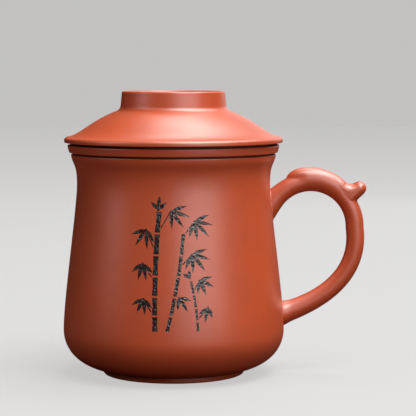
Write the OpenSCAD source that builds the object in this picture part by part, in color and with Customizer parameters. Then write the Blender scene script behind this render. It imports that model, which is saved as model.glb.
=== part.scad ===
// Lidded tea mug with a lift-out infuser, in unglazed red clay.
// The mug, the infuser and the lid stack on the Z axis, and the handle points along +X.
// Z = 0 is the table under the foot ring. All lengths are in millimetres.

/* [Mug] */
// Height of the mug's rim above the table
mug_h = 95; // [92:0.5:100]
// Outside radius of the belly at its widest
belly_r = 47.6; // [46:0.1:50]
// Height of the widest part of the belly
belly_z = 19.2; // [17:0.1:24]
// Outside radius of the neck at its narrowest
neck_r = 41.5; // [40.5:0.1:43]
// Drop of the narrowest part of the neck below the rim
neck_drop = 12.7; // [11:0.1:16]
// Outside radius of the flared rim
rim_r = 44; // [43:0.1:46]
// Thickness of the mug's wall
mug_wall = 3.4; // [3:0.1:4]
// Thickness of the mug's floor
mug_floor = 3.6; // [3:0.1:5]
// Radius that rounds the rim's two edges
rim_round = 0.6; // [0.4:0.1:1]

/* [Foot ring] */
// Outside radius of the foot ring
foot_r = 30.4; // [28:0.2:32]
// Height of the foot ring
foot_h = 2.4; // [1.8:0.1:3]
// Width of the foot ring from its outside to its inside
foot_w = 4.2; // [3:0.1:6]
// Bevel on the foot ring's two lower edges
foot_bevel = 0.8; // [0.4:0.1:1.2]
// Step between the foot ring and the start of the belly's underside
foot_step = 1.4; // [0.8:0.1:2]

/* [Handle] */
// Distance from the axis to the far end of the handle's crown, on its middle line
handle_reach = 78.2; // [76:0.1:82]
// Drop of the crown's centre below the neck
handle_drop = 19.05; // [17:0.05:23]
// Diameter of the handle at the far end of its crown
handle_d = 7.8; // [7:0.1:9]
// Diameter of the handle at its upper end
upper_root_d = 8.5; // [8:0.1:10]
// Depth to which the circle of the crown's middle line reaches inside the wall's outside
crown_bury = 3.5; // [3:0.1:5]
// Diameter of the handle at its lower end
lower_root_d = 10; // [9:0.1:13]
// Depth of the lower end's middle line inside the wall's outside
lower_bury = 5.5; // [5:0.1:8]
// Height of the lower end's middle line above the widest part of the belly
lower_root_rise = 4.9; // [3:0.1:7]

/* [Handle crest] */
// Diameter of the strand that crests the handle and ends in the thumb curl
crest_d = 6.4; // [5.8:0.1:7.6]
// Diameter of the crest where it leaves the handle
waist_d = 5; // [4.4:0.1:5.8]
// Depth of the crest's middle line inside the handle's skin
crest_sink = 0.7; // [0.2:0.1:1.2]
// Angle round the crown at which the crest's nose begins
crest_from = 117; // [110:1:122]
// Angle round the crown at which the crest leaves the handle
crest_to = 52; // [48:1:58]
// Diameter of the thumb curl at its tip
curl_d = 5.8; // [5:0.1:6.5]
// Distance that the thumb curl's tip reaches out from where the crest leaves the handle
curl_run = 7.2; // [6:0.1:8]
// Drop of the thumb curl's tip below where the crest leaves the handle
curl_drop = 1.1; // [0:0.1:2]

/* [Infuser] */
// Height of the infuser's collar
collar_h = 4.2; // [3.5:0.1:6]
// Width by which the collar's bottom stands out past the mug's rim
collar_proud = 0.9; // [0.4:0.05:1.2]
// Width by which the collar's top stands out past its bottom
collar_spread = 0.6; // [0.3:0.1:1.5]
// Radius that rounds the collar's outer edges
collar_round = 0.5; // [0.3:0.05:0.8]
// Width by which the infuser's mouth is wider than its neck
mouth_spread = 1; // [0.5:0.1:2]
// Depth of the infuser's cup below the mug's rim
cup_depth = 62; // [50:1:70]
// Width by which the cup's bottom is narrower than its neck
cup_taper = 2.5; // [1:0.1:4]
// Thickness of the cup's wall
cup_wall = 2.4; // [2:0.1:3]

/* [Strainer] */
// Thickness of the perforated floor
strainer_t = 3; // [2:0.1:4]
// Radius that rounds the floor's lower edge
strainer_round = 1.4; // [1:0.1:1.8]
// Diameter of each drain hole
hole_d = 2.2; // [1.6:0.1:2.6]
// Distance between one ring of drain holes and the next
hole_pitch = 5.5; // [4.6:0.1:7]
// Solid margin between the outermost holes and the cup's wall
hole_margin = 5; // [4:0.5:8]

/* [Lid] */
// Width by which the lid's rim stands out past the collar's top
lid_overhang = 1.4; // [1:0.1:2.4]
// Thickness of the lid's rim
lid_rim_t = 2.9; // [2.4:0.1:3.4]
// Radius that rounds the lid's rim
lid_round = 0.9; // [0.6:0.1:1.1]
// Height from the lid's seat to the foot of its grip ring
lid_rise = 15.6; // [14:0.1:18]
// Thickness of the clay inside the grip ring
lid_crown_t = 3.8; // [3:0.1:5]
// Radius of the fillet round the foot of the grip ring
lid_fillet = 1.35; // [1:0.05:1.6]
// Depth of the locating ring below the lid's seat
locate_h = 6; // [4:0.1:8]
// Thickness of the locating ring
locate_w = 2.6; // [2:0.1:3.4]
// Bevel on the locating ring's two lower edges
locate_bevel = 0.6; // [0.3:0.1:0.9]

/* [Grip ring] */
// Outside radius of the grip ring at its base
grip_r = 22.75; // [21:0.05:24]
// Height of the grip ring
grip_h = 6.8; // [5:0.1:9]
// Thickness of the grip ring at its base
grip_w = 3.4; // [3:0.1:4.5]
// Inward lean of the grip ring's outside from base to top
grip_lean = 0.6; // [0:0.1:1]
// Radius that rounds the grip ring's top edges
grip_round = 0.7; // [0.4:0.1:1]

/* [Fits] */
// Radial gap between the infuser and the mug's mouth
mouth_gap = 0.5; // [0.3:0.05:0.8]
// Radial gap between the lid's locating ring and the collar's bore
locate_gap = 0.5; // [0.3:0.05:0.8]
// Height of the open seams above and below the collar's outer edge
seam_gap = 0.45; // [0.2:0.05:0.6]
// Depth of the open seams, the lower one's from the mug's outside
seam_depth = 1.6; // [1.2:0.1:1.8]

/* [Carving] */
// Width of the carved bamboo
carving_w = 31; // [26:0.5:33]
// Height of the carving's foot above the widest part of the belly
carving_rise = 5.3; // [1:0.1:8]
// Distance of the carving's head below the narrowest part of the neck
carving_drop = 4.8; // [4:0.1:8]
// Depth of the carved pockets
carve_depth = 0.6; // [0.4:0.05:1]
// Depth of the ink's surface below the clay
ink_sink = 0.15; // [0.1:0.05:0.3]
// Width of a leaf at its widest
leaf_w = 1.6; // [1.2:0.1:1.8]
// Width of a twig
twig_w = 0.5; // [0.4:0.05:0.8]
// Gap between one length of a culm and the next
joint_gap = 0.7; // [0.5:0.1:1]
// Gap that keeps the leaves clear of the culms
ink_margin = 0.35; // [0.3:0.05:0.6]

/* [Hidden] */
$fn = 96;

CLAY = "#b4552f";
INNER_CLAY = "#a64d2b";
INK = "#2b2625";

curve_steps = 14;
round_steps = 5;
hole_sides = 24;
// Overshoot of a cut past the faces that it opens
through = 1;

// Heights and radii at which the pieces meet
base_r = foot_r + foot_step;
floor_z = foot_h + mug_floor;
neck_z = mug_h - neck_drop;
handle_z = neck_z - handle_drop;
lower_root_z = belly_z + lower_root_rise;
seat_z = mug_h + collar_h;
grip_z = seat_z + lid_rise;
cup_z = mug_h - cup_depth;
cup_inset = mug_wall + mouth_gap;
cup_neck_r = neck_r - cup_inset;
cup_low_r = cup_neck_r - cup_taper;
bore_r = cup_neck_r - cup_wall + mouth_spread;
collar_low_r = rim_r + collar_proud;
collar_top_r = collar_low_r + collar_spread;
lid_r = collar_top_r + lid_overhang;
locate_r = bore_r - locate_gap;
hollow_r = locate_r - locate_w;

// ---- Curves ----

function bezier(a, b, c, d, steps = curve_steps) = [
    for (i = [0:steps]) let (t = i / steps, s = 1 - t)
        s * s * s * a + 3 * s * s * t * b + 3 * s * t * t * c + t * t * t * d
];

function arc(centre, radius, from, to, steps = round_steps) = [
    for (i = [0:steps]) let (a = from + (to - from) * i / steps)
        centre + radius * [cos(a), sin(a)]
];

function after_first(list) = [for (i = [1:len(list) - 1]) list[i]];

function reversed(list) = [for (i = [len(list) - 1:-1:0]) list[i]];

module revolve(outline) {
    rotate_extrude() polygon(outline);
}

// ---- Mug ----

// Lengths over which the side's curves run straight on from their ends before they bend
underside_run = 15;
underside_rise = 3.5;
belly_drop = 3;
belly_hold = 12.8;
neck_hold = 10;
flare_hold = 8.5;
lip_lean = 0.5;
lip_drop = 4;

// Each curve is set in from the outside by inset. The underside starts at height low_z.
function underside_curve(inset, low_z) = bezier(
    [base_r - inset, low_z], [base_r - inset + underside_run, low_z + underside_rise],
    [belly_r - inset, belly_z - belly_drop], [belly_r - inset, belly_z]
);

function side_curve(inset) = bezier(
    [belly_r - inset, belly_z], [belly_r - inset, belly_z + belly_hold],
    [neck_r - inset, neck_z - neck_hold], [neck_r - inset, neck_z]
);

function mouth_curve(inset) = bezier(
    [neck_r - inset, neck_z], [neck_r - inset, neck_z + flare_hold],
    [rim_r - inset - lip_lean, mug_h - rim_round - lip_drop], [rim_r - inset, mug_h - rim_round]
);

function mug_curve(inset, low_z) = concat(
    underside_curve(inset, low_z), after_first(side_curve(inset)), after_first(mouth_curve(inset))
);

// Outside radius of the mug at height z
function wall_r(z) = lookup(z, [for (p = mug_curve(0, foot_h)) [p.y, p.x]]);

module mug_body() {
    outer_edge = arc([rim_r - rim_round, mug_h - rim_round], rim_round, 0, 90);
    inner_edge = arc([rim_r - mug_wall + rim_round, mug_h - rim_round], rim_round, 90, 180);
    color(CLAY) difference() {
        revolve(concat(
            mug_curve(0, foot_h), after_first(outer_edge), inner_edge,
            after_first(reversed(mug_curve(mug_wall, floor_z))), [[0, floor_z], [0, foot_h]]
        ));
        in_wall(-through, carve_depth) {
            culms();
            leaves();
        }
    }
}

// The space inside the mug's outside surface, which whatever is luted on is cut to fit
module mug_core() {
    revolve(concat(mug_curve(0, foot_h), [[0, mug_h - rim_round], [0, foot_h]]));
}

module foot_ring() {
    inner_r = foot_r - foot_w;
    color(CLAY) revolve([
        [inner_r, foot_h], [inner_r, foot_bevel], [inner_r + foot_bevel, 0],
        [foot_r - foot_bevel, 0], [foot_r, foot_bevel], [foot_r, foot_h]
    ]);
}

// ---- Handle ----

strand_sides = 20;
crown_steps = 22;
sweep_steps = 16;
sweep_hold = 3;
tail_run = 44;
tail_angle = 14.8;
// Powers by which the handle swells towards its upper and its lower end
upper_swell = 3;
lower_swell = 8;
// Angle round the crown at which the upper end runs straight on into the wall, and its length there
root_turn = 145;
root_run = 9;

crown_r = (handle_reach - wall_r(handle_z) + crown_bury) / 2;
crown_centre = [handle_reach - crown_r, handle_z];
lower_root = [wall_r(lower_root_z) - lower_bury, lower_root_z];

function crown_point(angle, lift = 0) = crown_centre + (crown_r + lift) * [cos(angle), sin(angle)];

upper_root = crown_point(root_turn) + root_run * [-sin(root_turn), cos(root_turn)];

// A line of [x, z, radius], from the upper root over the crown and down to the lower root
crown_line = [
    for (i = [0:crown_steps]) let (
        t = 1 - i / crown_steps,
        p = crown_point(root_turn * t),
        d = handle_d + (upper_root_d - handle_d) * pow(t, upper_swell)
    ) [p.x, p.y, d / 2]
];

sweep_path = bezier(
    [handle_reach, handle_z], [handle_reach, handle_z - sweep_hold],
    lower_root + tail_run * [cos(tail_angle), sin(tail_angle)], lower_root, sweep_steps
);

sweep_line = [
    for (i = [1:sweep_steps]) let (
        d = handle_d + (lower_root_d - handle_d) * pow(i / sweep_steps, lower_swell)
    ) [sweep_path[i].x, sweep_path[i].y, d / 2]
];

handle_line = concat([[upper_root.x, upper_root.y, upper_root_d / 2]], crown_line, sweep_line);

// Unit direction of a line of [x, z, ...] at its point i
function heading(line, i) = let (
    a = line[max(i - 1, 0)],
    b = line[min(i + 1, len(line) - 1)],
    v = [b[0] - a[0], b[1] - a[1]]
) v / norm(v);

// A round strand along a line of [x, z, radius] in the plane Y = 0
module strand(line, sides = strand_sides) {
    last = len(line) - 1;
    points = [
        for (i = [0:last], k = [0:sides - 1]) let (
            along = heading(line, i),
            out = line[i][2] * cos(360 * k / sides),
            across = line[i][2] * sin(360 * k / sides)
        ) [line[i][0] - along.y * out, across, line[i][1] + along.x * out]
    ];
    walls = [
        for (i = [0:last - 1], k = [0:sides - 1]) let (n = (k + 1) % sides)
            [i * sides + k, i * sides + n, (i + 1) * sides + n, (i + 1) * sides + k]
    ];
    ends = [
        [for (k = [sides - 1:-1:0]) k],
        [for (k = [0:sides - 1]) last * sides + k]
    ];
    polyhedron(points, concat(walls, ends), convexity = 6);
}

module handle_loop() {
    color(CLAY) difference() {
        strand(handle_line);
        mug_core();
    }
}

// ---- Handle crest ----

nose_angle = 16;
nose_steps = 6;
crest_steps = 10;
curl_steps = 8;
tip_steps = 4;
curl_start_pull = 3.5;
curl_end_pull = 3;
curl_angle = 40;
crest_lift = handle_d / 2 - crest_sink;
// How far towards its full size the nose starts and the tip ends
blunt = 0.03;
// Power that packs the nose's rings towards its start
nose_packing = 1.6;
// Power by which the crest thins towards its waist
waist_taper = 2;

curl_heading = [cos(curl_angle), sin(curl_angle)];

// The nose swells as a half ellipse
nose_line = [
    for (i = [0:nose_steps]) let (
        t = blunt + (1 - blunt) * pow(i / nose_steps, nose_packing),
        p = crown_point(crest_from - nose_angle * t, crest_lift)
    ) [p.x, p.y, crest_d / 2 * sqrt(1 - pow(1 - t, 2))]
];

back_line = [
    for (i = [1:crest_steps]) let (
        t = i / crest_steps,
        start = crest_from - nose_angle,
        p = crown_point(start + (crest_to - start) * t, crest_lift),
        d = crest_d + (waist_d - crest_d) * pow(t, waist_taper)
    ) [p.x, p.y, d / 2]
];

curl_start = crown_point(crest_to, crest_lift);
curl_tip = curl_start + [curl_run, -curl_drop];
curl_path = bezier(
    curl_start, curl_start + curl_start_pull * [sin(crest_to), -cos(crest_to)],
    curl_tip - curl_end_pull * curl_heading, curl_tip, curl_steps
);

curl_line = [
    for (i = [1:curl_steps]) let (d = waist_d + (curl_d - waist_d) * i / curl_steps)
        [curl_path[i].x, curl_path[i].y, d / 2]
];

tip_line = [
    for (i = [1:tip_steps]) let (
        t = (1 - blunt) * i / tip_steps,
        p = curl_tip + curl_d / 2 * sin(90 * t) * curl_heading
    ) [p.x, p.y, curl_d / 2 * cos(90 * t)]
];

module handle_crest() {
    color(CLAY) difference() {
        strand(concat(nose_line, back_line, curl_line, tip_line));
        strand(handle_line);
    }
}

// ---- Carving ----

// A place on the carving is in hundredths of its width and of its height, and a length in
// hundredths of its height
carving_h = neck_z - carving_drop - belly_z - carving_rise;
culm_waist = 0.8;
culm_growth = 1.12;
leaf_steps = 8;
leaf_stem_w = 0.28;
// Powers that set where a leaf is widest and how finely its two ends taper
leaf_peak = 0.85;
leaf_taper = 1.35;
leaf_droop = 0.07;
outer_leaf_cut = 0.25;
twig_end_d = 0.9;

// Each culm: foot, head, width, sideways bend, number of lengths between its joints
CULMS = [
    [[25, 0], [31, 93], 4.3, 1.3, 6],
    [[41, 0], [63, 76], 3, -1.7, 5],
    [[82, 0], [72, 40], 2.1, -1, 4]
];

// Each twig: its start beside a culm, its end
TWIGS = [
    [[31, 77], [46, 92]], [[25, 62], [14, 78]], [[64, 74], [77, 84]],
    [[58, 49], [74, 59]], [[24, 39], [9, 52]], [[76, 31], [84, 39]],
    [[22, 13], [10, 25]], [[83, 10], [95, 18]], [[49, 19], [57, 26]]
];

// Each spray of leaves: its origin, length of its longest leaf, direction, number of leaves, spread
SPRAYS = [
    [[46, 92], 18, -30, 4, 105], [[14, 78], 17, -110, 4, 110], [[30, 93], 12, 88, 3, 80],
    [[77, 84], 17, -42, 5, 140], [[74, 59], 17, -48, 5, 140], [[9, 52], 15, -92, 4, 105],
    [[84, 39], 14, -42, 4, 120], [[10, 25], 14, -100, 4, 110], [[95, 18], 12, -105, 3, 85],
    [[57, 26], 13, -55, 3, 90], [[71, 41], 8.5, 118, 2, 50]
];

function on_carving(p) = [(p.x / 100 - 0.5) * carving_w, p.y / 100 * carving_h];

function carved_length(hundredths) = hundredths / 100 * carving_h;

// A straight length from a to b that narrows to waist times its width at its middle
module stem(a, b, w, waist = 1) {
    along = (b - a) / norm(b - a);
    side = [-along.y, along.x] * w / 2;
    middle = (a + b) / 2;
    polygon([a - side, middle - side * waist, b - side, b + side, middle + side * waist, a + side]);
}

function culm_point(culm, t) = let (
    foot = on_carving(culm[0]),
    rise = on_carving(culm[1]) - foot
) foot + t * rise + 4 * carved_length(culm[3]) * t * (1 - t) * [-rise.y, rise.x] / norm(rise);

// The culms, grown by margin on every side
module culms(margin = 0) {
    for (culm = CULMS, i = [0:culm[4] - 1]) {
        low = culm_point(culm, pow(i / culm[4], culm_growth));
        high = culm_point(culm, pow((i + 1) / culm[4], culm_growth));
        along = (high - low) / norm(high - low);
        width = carved_length(culm[2]) + 2 * margin;
        stem(low - margin * along, high + (margin - joint_gap) * along, width, culm_waist);
    }
}

function leaf_half(t) =
    max(leaf_w * pow(sin(180 * pow(t, leaf_peak)), leaf_taper), leaf_stem_w * (1 - t)) / 2;

function leaf_outline(origin, angle, length) = let (
    along = [cos(angle), sin(angle)],
    side = [-along.y, along.x],
    droop = -sign(along.x) * leaf_droop * length * side,
    spine = [for (i = [0:leaf_steps]) let (t = i / leaf_steps) origin + length * t * along + t * t * droop],
    half = [for (i = [0:leaf_steps]) leaf_half(i / leaf_steps) * side]
) concat(
    [for (i = [0:leaf_steps]) spine[i] - half[i]],
    [for (i = [leaf_steps - 1:-1:0]) spine[i] + half[i]]
);

// Leaves fanned about a direction, the middle ones the longest
module spray(origin, length, direction, count, spread) {
    for (i = [0:count - 1]) {
        turn = 2 * i / (count - 1) - 1;
        angle = direction + turn * spread / 2;
        polygon(leaf_outline(origin, angle, length * (1 - outer_leaf_cut * abs(turn))));
    }
    translate(origin) circle(d = twig_end_d, $fn = hole_sides);
}

module leaves() {
    difference() {
        union() {
            for (s = SPRAYS) spray(on_carving(s[0]), carved_length(s[1]), s[2], s[3], s[4]);
            for (t = TWIGS) stem(on_carving(t[0]), on_carving(t[1]), twig_w);
        }
        culms(ink_margin);
    }
}

// What lies in the front of the wall between two depths, cut to the drawing given as children
module in_wall(depth_a, depth_b) {
    foot_z = belly_z + carving_rise;
    intersection() {
        revolve(concat(side_curve(depth_a), reversed(side_curve(depth_b))));
        translate([0, 0, foot_z]) rotate([90, 0, 0]) linear_extrude(2 * belly_r) children();
    }
}

module culm_inlay() {
    color(INK) in_wall(ink_sink, carve_depth) culms();
}

module leaf_inlay() {
    color(INK) in_wall(ink_sink, carve_depth) leaves();
}

// ---- Infuser ----

// The collar bears on its inner lands, and its outer edge stands clear of the mug and of the lid
module infuser_collar() {
    low_z = mug_h + seam_gap;
    top_z = seat_z - seam_gap;
    low_land_r = rim_r - seam_depth;
    top_land_r = collar_top_r - seam_depth;
    low_edge = arc([collar_low_r - collar_round, low_z + collar_round], collar_round, -90, 0);
    top_edge = arc([collar_top_r - collar_round, top_z - collar_round], collar_round, 0, 90);
    color(CLAY) revolve(concat(
        [[bore_r, mug_h], [low_land_r, mug_h], [low_land_r, low_z]], low_edge,
        top_edge, [[top_land_r, top_z], [top_land_r, seat_z], [bore_r, seat_z]]
    ));
}

module infuser_cup() {
    foot_z = cup_z + strainer_t;
    color(INNER_CLAY) revolve(concat(
        [[cup_low_r - cup_wall, foot_z], [cup_low_r, foot_z]],
        mouth_curve(cup_inset),
        [[rim_r - cup_inset, mug_h], [bore_r, mug_h], [cup_neck_r - cup_wall, neck_z]]
    ));
}

module strainer_floor() {
    low_edge = arc([cup_low_r - strainer_round, cup_z + strainer_round], strainer_round, -90, 0);
    rings = floor((cup_low_r - cup_wall - hole_margin) / hole_pitch);
    color(INNER_CLAY) difference() {
        revolve(concat([[0, cup_z]], low_edge, [[cup_low_r, cup_z + strainer_t], [0, cup_z + strainer_t]]));
        drain_hole([0, 0]);
        for (ring = [1:rings], k = [0:6 * ring - 1]) {
            angle = 60 * k / ring;
            drain_hole(ring * hole_pitch * [cos(angle), sin(angle)]);
        }
    }
}

module drain_hole(place) {
    translate([place.x, place.y, cup_z - through])
        cylinder(d = hole_d, h = strainer_t + 2 * through, $fn = hole_sides);
}

// ---- Lid ----

// Angle at which the rim's rounding turns into the cone
rim_turn = 65;
cone_low_run = 6.6;
cone_low_rise = 1.2;
cone_high_run = 12.6;
cone_high_drop = 5;
hollow_wall_h = 2;
hollow_low_hold = 4.8;
hollow_high_run = 11;
crown_margin = 4.9;

module lid_cone() {
    round_centre = [lid_r - lid_round, seat_z + lid_rim_t - lid_round];
    low_edge = arc([lid_r - lid_round, seat_z + lid_round], lid_round, -90, 0);
    top_edge = arc(round_centre, lid_round, 0, rim_turn);
    cone_low = round_centre + lid_round * [cos(rim_turn), sin(rim_turn)];
    cone_high = [grip_r + lid_fillet, grip_z - lid_fillet];
    cone = bezier(
        cone_low, cone_low + [-cone_low_run, cone_low_rise],
        cone_high + [cone_high_run, -cone_high_drop], cone_high
    );
    fillet = arc([grip_r + lid_fillet, grip_z], lid_fillet, 270, 180);
    crown_z = grip_z - lid_crown_t;
    ceiling_r = grip_r - crown_margin;
    hollow = bezier(
        [hollow_r, seat_z + hollow_wall_h], [hollow_r, seat_z + hollow_wall_h + hollow_low_hold],
        [ceiling_r + hollow_high_run, crown_z], [ceiling_r, crown_z]
    );
    color(CLAY) revolve(concat(
        [[hollow_r, seat_z]], low_edge, top_edge, after_first(cone), after_first(fillet),
        [[0, grip_z], [0, crown_z]], reversed(hollow)
    ));
}

module lid_grip_ring() {
    top_z = grip_z + grip_h;
    outer_edge = arc([grip_r - grip_lean - grip_round, top_z - grip_round], grip_round, 0, 90);
    inner_edge = arc([grip_r - grip_w + grip_round, top_z - grip_round], grip_round, 90, 180);
    color(CLAY) revolve(concat([[grip_r - grip_w, grip_z], [grip_r, grip_z]], outer_edge, inner_edge));
}

module lid_locating_ring() {
    low_z = seat_z - locate_h;
    color(INNER_CLAY) revolve([
        [hollow_r, seat_z], [hollow_r, low_z + locate_bevel], [hollow_r + locate_bevel, low_z],
        [locate_r - locate_bevel, low_z], [locate_r, low_z + locate_bevel], [locate_r, seat_z]
    ]);
}

mug_body();
foot_ring();
handle_loop();
handle_crest();
culm_inlay();
leaf_inlay();
infuser_collar();
infuser_cup();
strainer_floor();
lid_cone();
lid_grip_ring();
lid_locating_ring();
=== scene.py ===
"""Dresses the lidded clay tea mug: turned and luted clay, inked carving, and a plain studio."""
import logging
import math
from dataclasses import dataclass
from enum import Enum
from typing import Any, Sequence

import bpy
import numpy as np
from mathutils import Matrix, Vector


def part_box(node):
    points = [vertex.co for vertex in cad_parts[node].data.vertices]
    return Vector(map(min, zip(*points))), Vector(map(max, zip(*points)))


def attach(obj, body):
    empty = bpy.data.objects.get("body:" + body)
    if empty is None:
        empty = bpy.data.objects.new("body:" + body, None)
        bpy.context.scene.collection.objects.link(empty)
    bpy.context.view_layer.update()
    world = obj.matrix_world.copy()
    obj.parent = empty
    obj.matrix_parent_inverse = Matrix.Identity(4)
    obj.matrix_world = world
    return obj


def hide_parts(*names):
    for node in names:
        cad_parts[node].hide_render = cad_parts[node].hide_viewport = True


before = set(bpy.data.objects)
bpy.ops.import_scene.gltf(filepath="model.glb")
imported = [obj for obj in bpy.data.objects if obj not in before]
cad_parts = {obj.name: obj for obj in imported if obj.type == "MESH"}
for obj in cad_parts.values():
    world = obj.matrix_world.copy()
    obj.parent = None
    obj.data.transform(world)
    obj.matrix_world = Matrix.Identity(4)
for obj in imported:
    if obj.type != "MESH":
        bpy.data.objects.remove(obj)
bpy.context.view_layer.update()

LOG = logging.getLogger("tea_mug")
MM = 0.001
TINY = 1e-6
SHARP_EDGE_DEG = 38.0
SEGMENTS = 224
NOISE_MEAN = 0.5
PALE = (0.54, 0.535, 0.53)

Pair = tuple[float, float]
Triple = tuple[float, float, float]
Colour = Triple
Shell = tuple[np.ndarray, list[np.ndarray]]


class Body(Enum):
    """The three pieces that come apart on the table."""

    MUG = "mug"
    INFUSER = "infuser"
    LID = "lid"


class Slot(Enum):
    """The material slots of the part."""

    CLAY = "clay"
    INNER_CLAY = "inner_clay"
    INK = "ink"
    SLIP = "slip"

    @property
    def recorded(self) -> str:
        """The slot's name in the record, where slip is clay as well."""
        return "clay" if self is Slot.SLIP else self.value


# ---- Curves ----


def bezier(
    a: Sequence[float], b: Sequence[float], c: Sequence[float], d: Sequence[float], steps: int
) -> np.ndarray:
    """Samples a cubic curve: its four control points weighted by the cubic Bernstein terms of t.

    Args:
        a: Start.
        b: Control point that the curve leaves towards.
        c: Control point that the curve arrives from.
        d: End.
        steps: Number of stretches between samples.

    Returns:
        Points of shape (steps + 1, 2).
    """
    t = np.linspace(0.0, 1.0, steps + 1)[:, None]
    s = 1.0 - t
    a, b, c, d = (np.asarray(p, float) for p in (a, b, c, d))
    return s**3 * a + 3 * s * s * t * b + 3 * s * t * t * c + t**3 * d


def direction(angle: np.ndarray | float) -> np.ndarray:
    """The cosine and the sine of angles in degrees, on the last axis."""
    turn = np.radians(angle)
    return np.stack([np.cos(turn), np.sin(turn)], axis=-1)


def arc(centre: Pair, radius: float, start: float, end: float, steps: int = 8) -> np.ndarray:
    """Samples a circular arc: its centre plus its radius times (cosine, sine) of the angle.

    Args:
        centre: Middle of the circle.
        radius: Its radius.
        start: First angle in degrees.
        end: Last angle in degrees.
        steps: Number of stretches between samples.

    Returns:
        Points of shape (steps + 1, 2).
    """
    return np.asarray(centre, float) + radius * direction(np.linspace(start, end, steps + 1))


def chain(*stretches: np.ndarray | Sequence[Sequence[float]]) -> np.ndarray:
    """Joins stretches into one outline, without the points that repeat the one before.

    Args:
        stretches: The points of each stretch, of shape (n, 2).

    Returns:
        The points of all of them, in order.
    """
    points = np.concatenate([np.asarray(s, float).reshape(-1, 2) for s in stretches])
    moved = np.linalg.norm(np.diff(points, axis=0), axis=1) > TINY
    return points[np.concatenate([[True], moved])]


def smooth_step(low: float, high: float, value: np.ndarray) -> np.ndarray:
    """Rises smoothly from 0 at low to 1 at high: three t squared less two t cubed."""
    t = np.clip((value - low) / (high - low), 0.0, 1.0)
    return t * t * (3.0 - 2.0 * t)


def smooth_max(a: np.ndarray, b: np.ndarray, width: np.ndarray | float) -> np.ndarray:
    """The larger of a and b, with their crossing rounded over a width by a parabola."""
    overlap = np.maximum(width - np.abs(a - b), 0.0)
    return np.maximum(a, b) + overlap * overlap / (4.0 * width)


def turns(count: int) -> np.ndarray:
    """Equal turns of a circle in radians, without the last one, which repeats the first."""
    return np.linspace(0.0, 2 * np.pi, count, endpoint=False)


def mouth(
    neck: Pair, lip: Pair, steps: int, hold: float = 8.5, lean: float = 0.5, drop: float = 4.0
) -> np.ndarray:
    """The flare of a mouth: it leaves the neck upright and leans out a little at the lip.

    Args:
        neck: Radius and height where it starts.
        lip: Radius and height where it ends.
        steps: Number of stretches between samples.
        hold: How far it keeps the neck's direction.
        lean: How far out its last part leans.
        drop: How far below the lip that part starts.

    Returns:
        Points of shape (steps + 1, 2).
    """
    return bezier(neck, (neck[0], neck[1] + hold), (lip[0] - lean, lip[1] - drop), lip, steps)


# ---- Meshes ----


def mesh_piece(name: str, points: np.ndarray, faces: Sequence[np.ndarray]) -> bpy.types.Object:
    """Makes a smooth-shaded mesh object whose corners stay crisp.

    Args:
        name: The piece's name.
        points: Vertices in millimetres, of shape (n, 3).
        faces: Arrays of vertex numbers with one face per row, such as quads and triangles.

    Returns:
        The new object, linked to the scene.
    """
    corners = np.concatenate([f.ravel() for f in faces]).astype(np.int32)
    sizes = np.concatenate([np.full(len(f), f.shape[1], np.int32) for f in faces])
    starts = np.concatenate([[0], np.cumsum(sizes)[:-1]]).astype(np.int32)
    mesh = bpy.data.meshes.new(name)
    mesh.vertices.add(len(points))
    mesh.vertices.foreach_set("co", (points * MM).astype(np.float32).ravel())
    mesh.loops.add(len(corners))
    mesh.loops.foreach_set("vertex_index", corners)
    mesh.polygons.add(len(sizes))
    mesh.polygons.foreach_set("loop_start", starts)
    mesh.polygons.foreach_set("use_smooth", np.ones(len(sizes), bool))
    mesh.update(calc_edges=True)
    mesh.validate()
    mesh.set_sharp_from_angle(angle=math.radians(SHARP_EDGE_DEG))
    piece = bpy.data.objects.new(name, mesh)
    bpy.context.scene.collection.objects.link(piece)
    return piece


def grid_faces(rows: int, columns: int, closed_rows: bool) -> np.ndarray:
    """Quads of a grid of points that closes on itself along its columns.

    Args:
        rows: Number of rows of points.
        columns: Points in a row. The last one is joined to the first.
        closed_rows: Whether the last row is joined to the first, as in a ring.

    Returns:
        Vertex numbers of shape (faces, 4).
    """
    row = np.arange(rows if closed_rows else rows - 1)[:, None]
    column = np.arange(columns)[None, :]
    after, beside = (row + 1) % rows, (column + 1) % columns
    corners = ((row, column), (row, beside), (after, beside), (after, column))
    return np.stack([r * columns + c for r, c in corners], axis=-1).reshape(-1, 4)


def capped(points: np.ndarray, columns: int, first: Triple, last: Triple) -> Shell:
    """Adds a pole at each end of an open grid of rings, so that it becomes a closed shell.

    Args:
        points: The grid's points, ring by ring, of shape (rings * columns, 3).
        columns: Points in a ring.
        first: Pole under the first ring.
        last: Pole over the last ring.

    Returns:
        All the points, and the faces: quads between the rings, and a fan of triangles at each pole.
    """
    here, pole, top = np.arange(columns), np.full(columns, len(points)), len(points) - columns
    beside = (here + 1) % columns
    return np.vstack([points, first, last]), [
        grid_faces(len(points) // columns, columns, False),
        np.stack([beside, here, pole], axis=1),
        np.stack([top + here, top + beside, pole + 1], axis=1),
    ]


def turned(name: str, outline: np.ndarray) -> bpy.types.Object:
    """Turns an outline of (radius, height) about the Z axis: (r cos a, r sin a, z).

    Args:
        name: The piece's name.
        outline: Points in millimetres, with the clay on the left when walking along them. An
            outline that starts and ends on the axis gets poles, and any other closes as a ring.

    Returns:
        The new piece.
    """
    polar = outline[0, 0] < TINY
    rings = outline[1:-1] if polar else outline
    angle, radius = turns(SEGMENTS), rings[:, :1]
    height = np.broadcast_to(rings[:, 1:], (len(rings), SEGMENTS))
    points = np.stack([radius * np.cos(angle), radius * np.sin(angle), height], axis=-1)
    points = points.reshape(-1, 3)
    if polar:
        poles = ((0.0, 0.0, outline[end, 1]) for end in (0, -1))
        return mesh_piece(name, *capped(points, SEGMENTS, *poles))
    return mesh_piece(name, points, [grid_faces(len(rings), SEGMENTS, True)])


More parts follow.
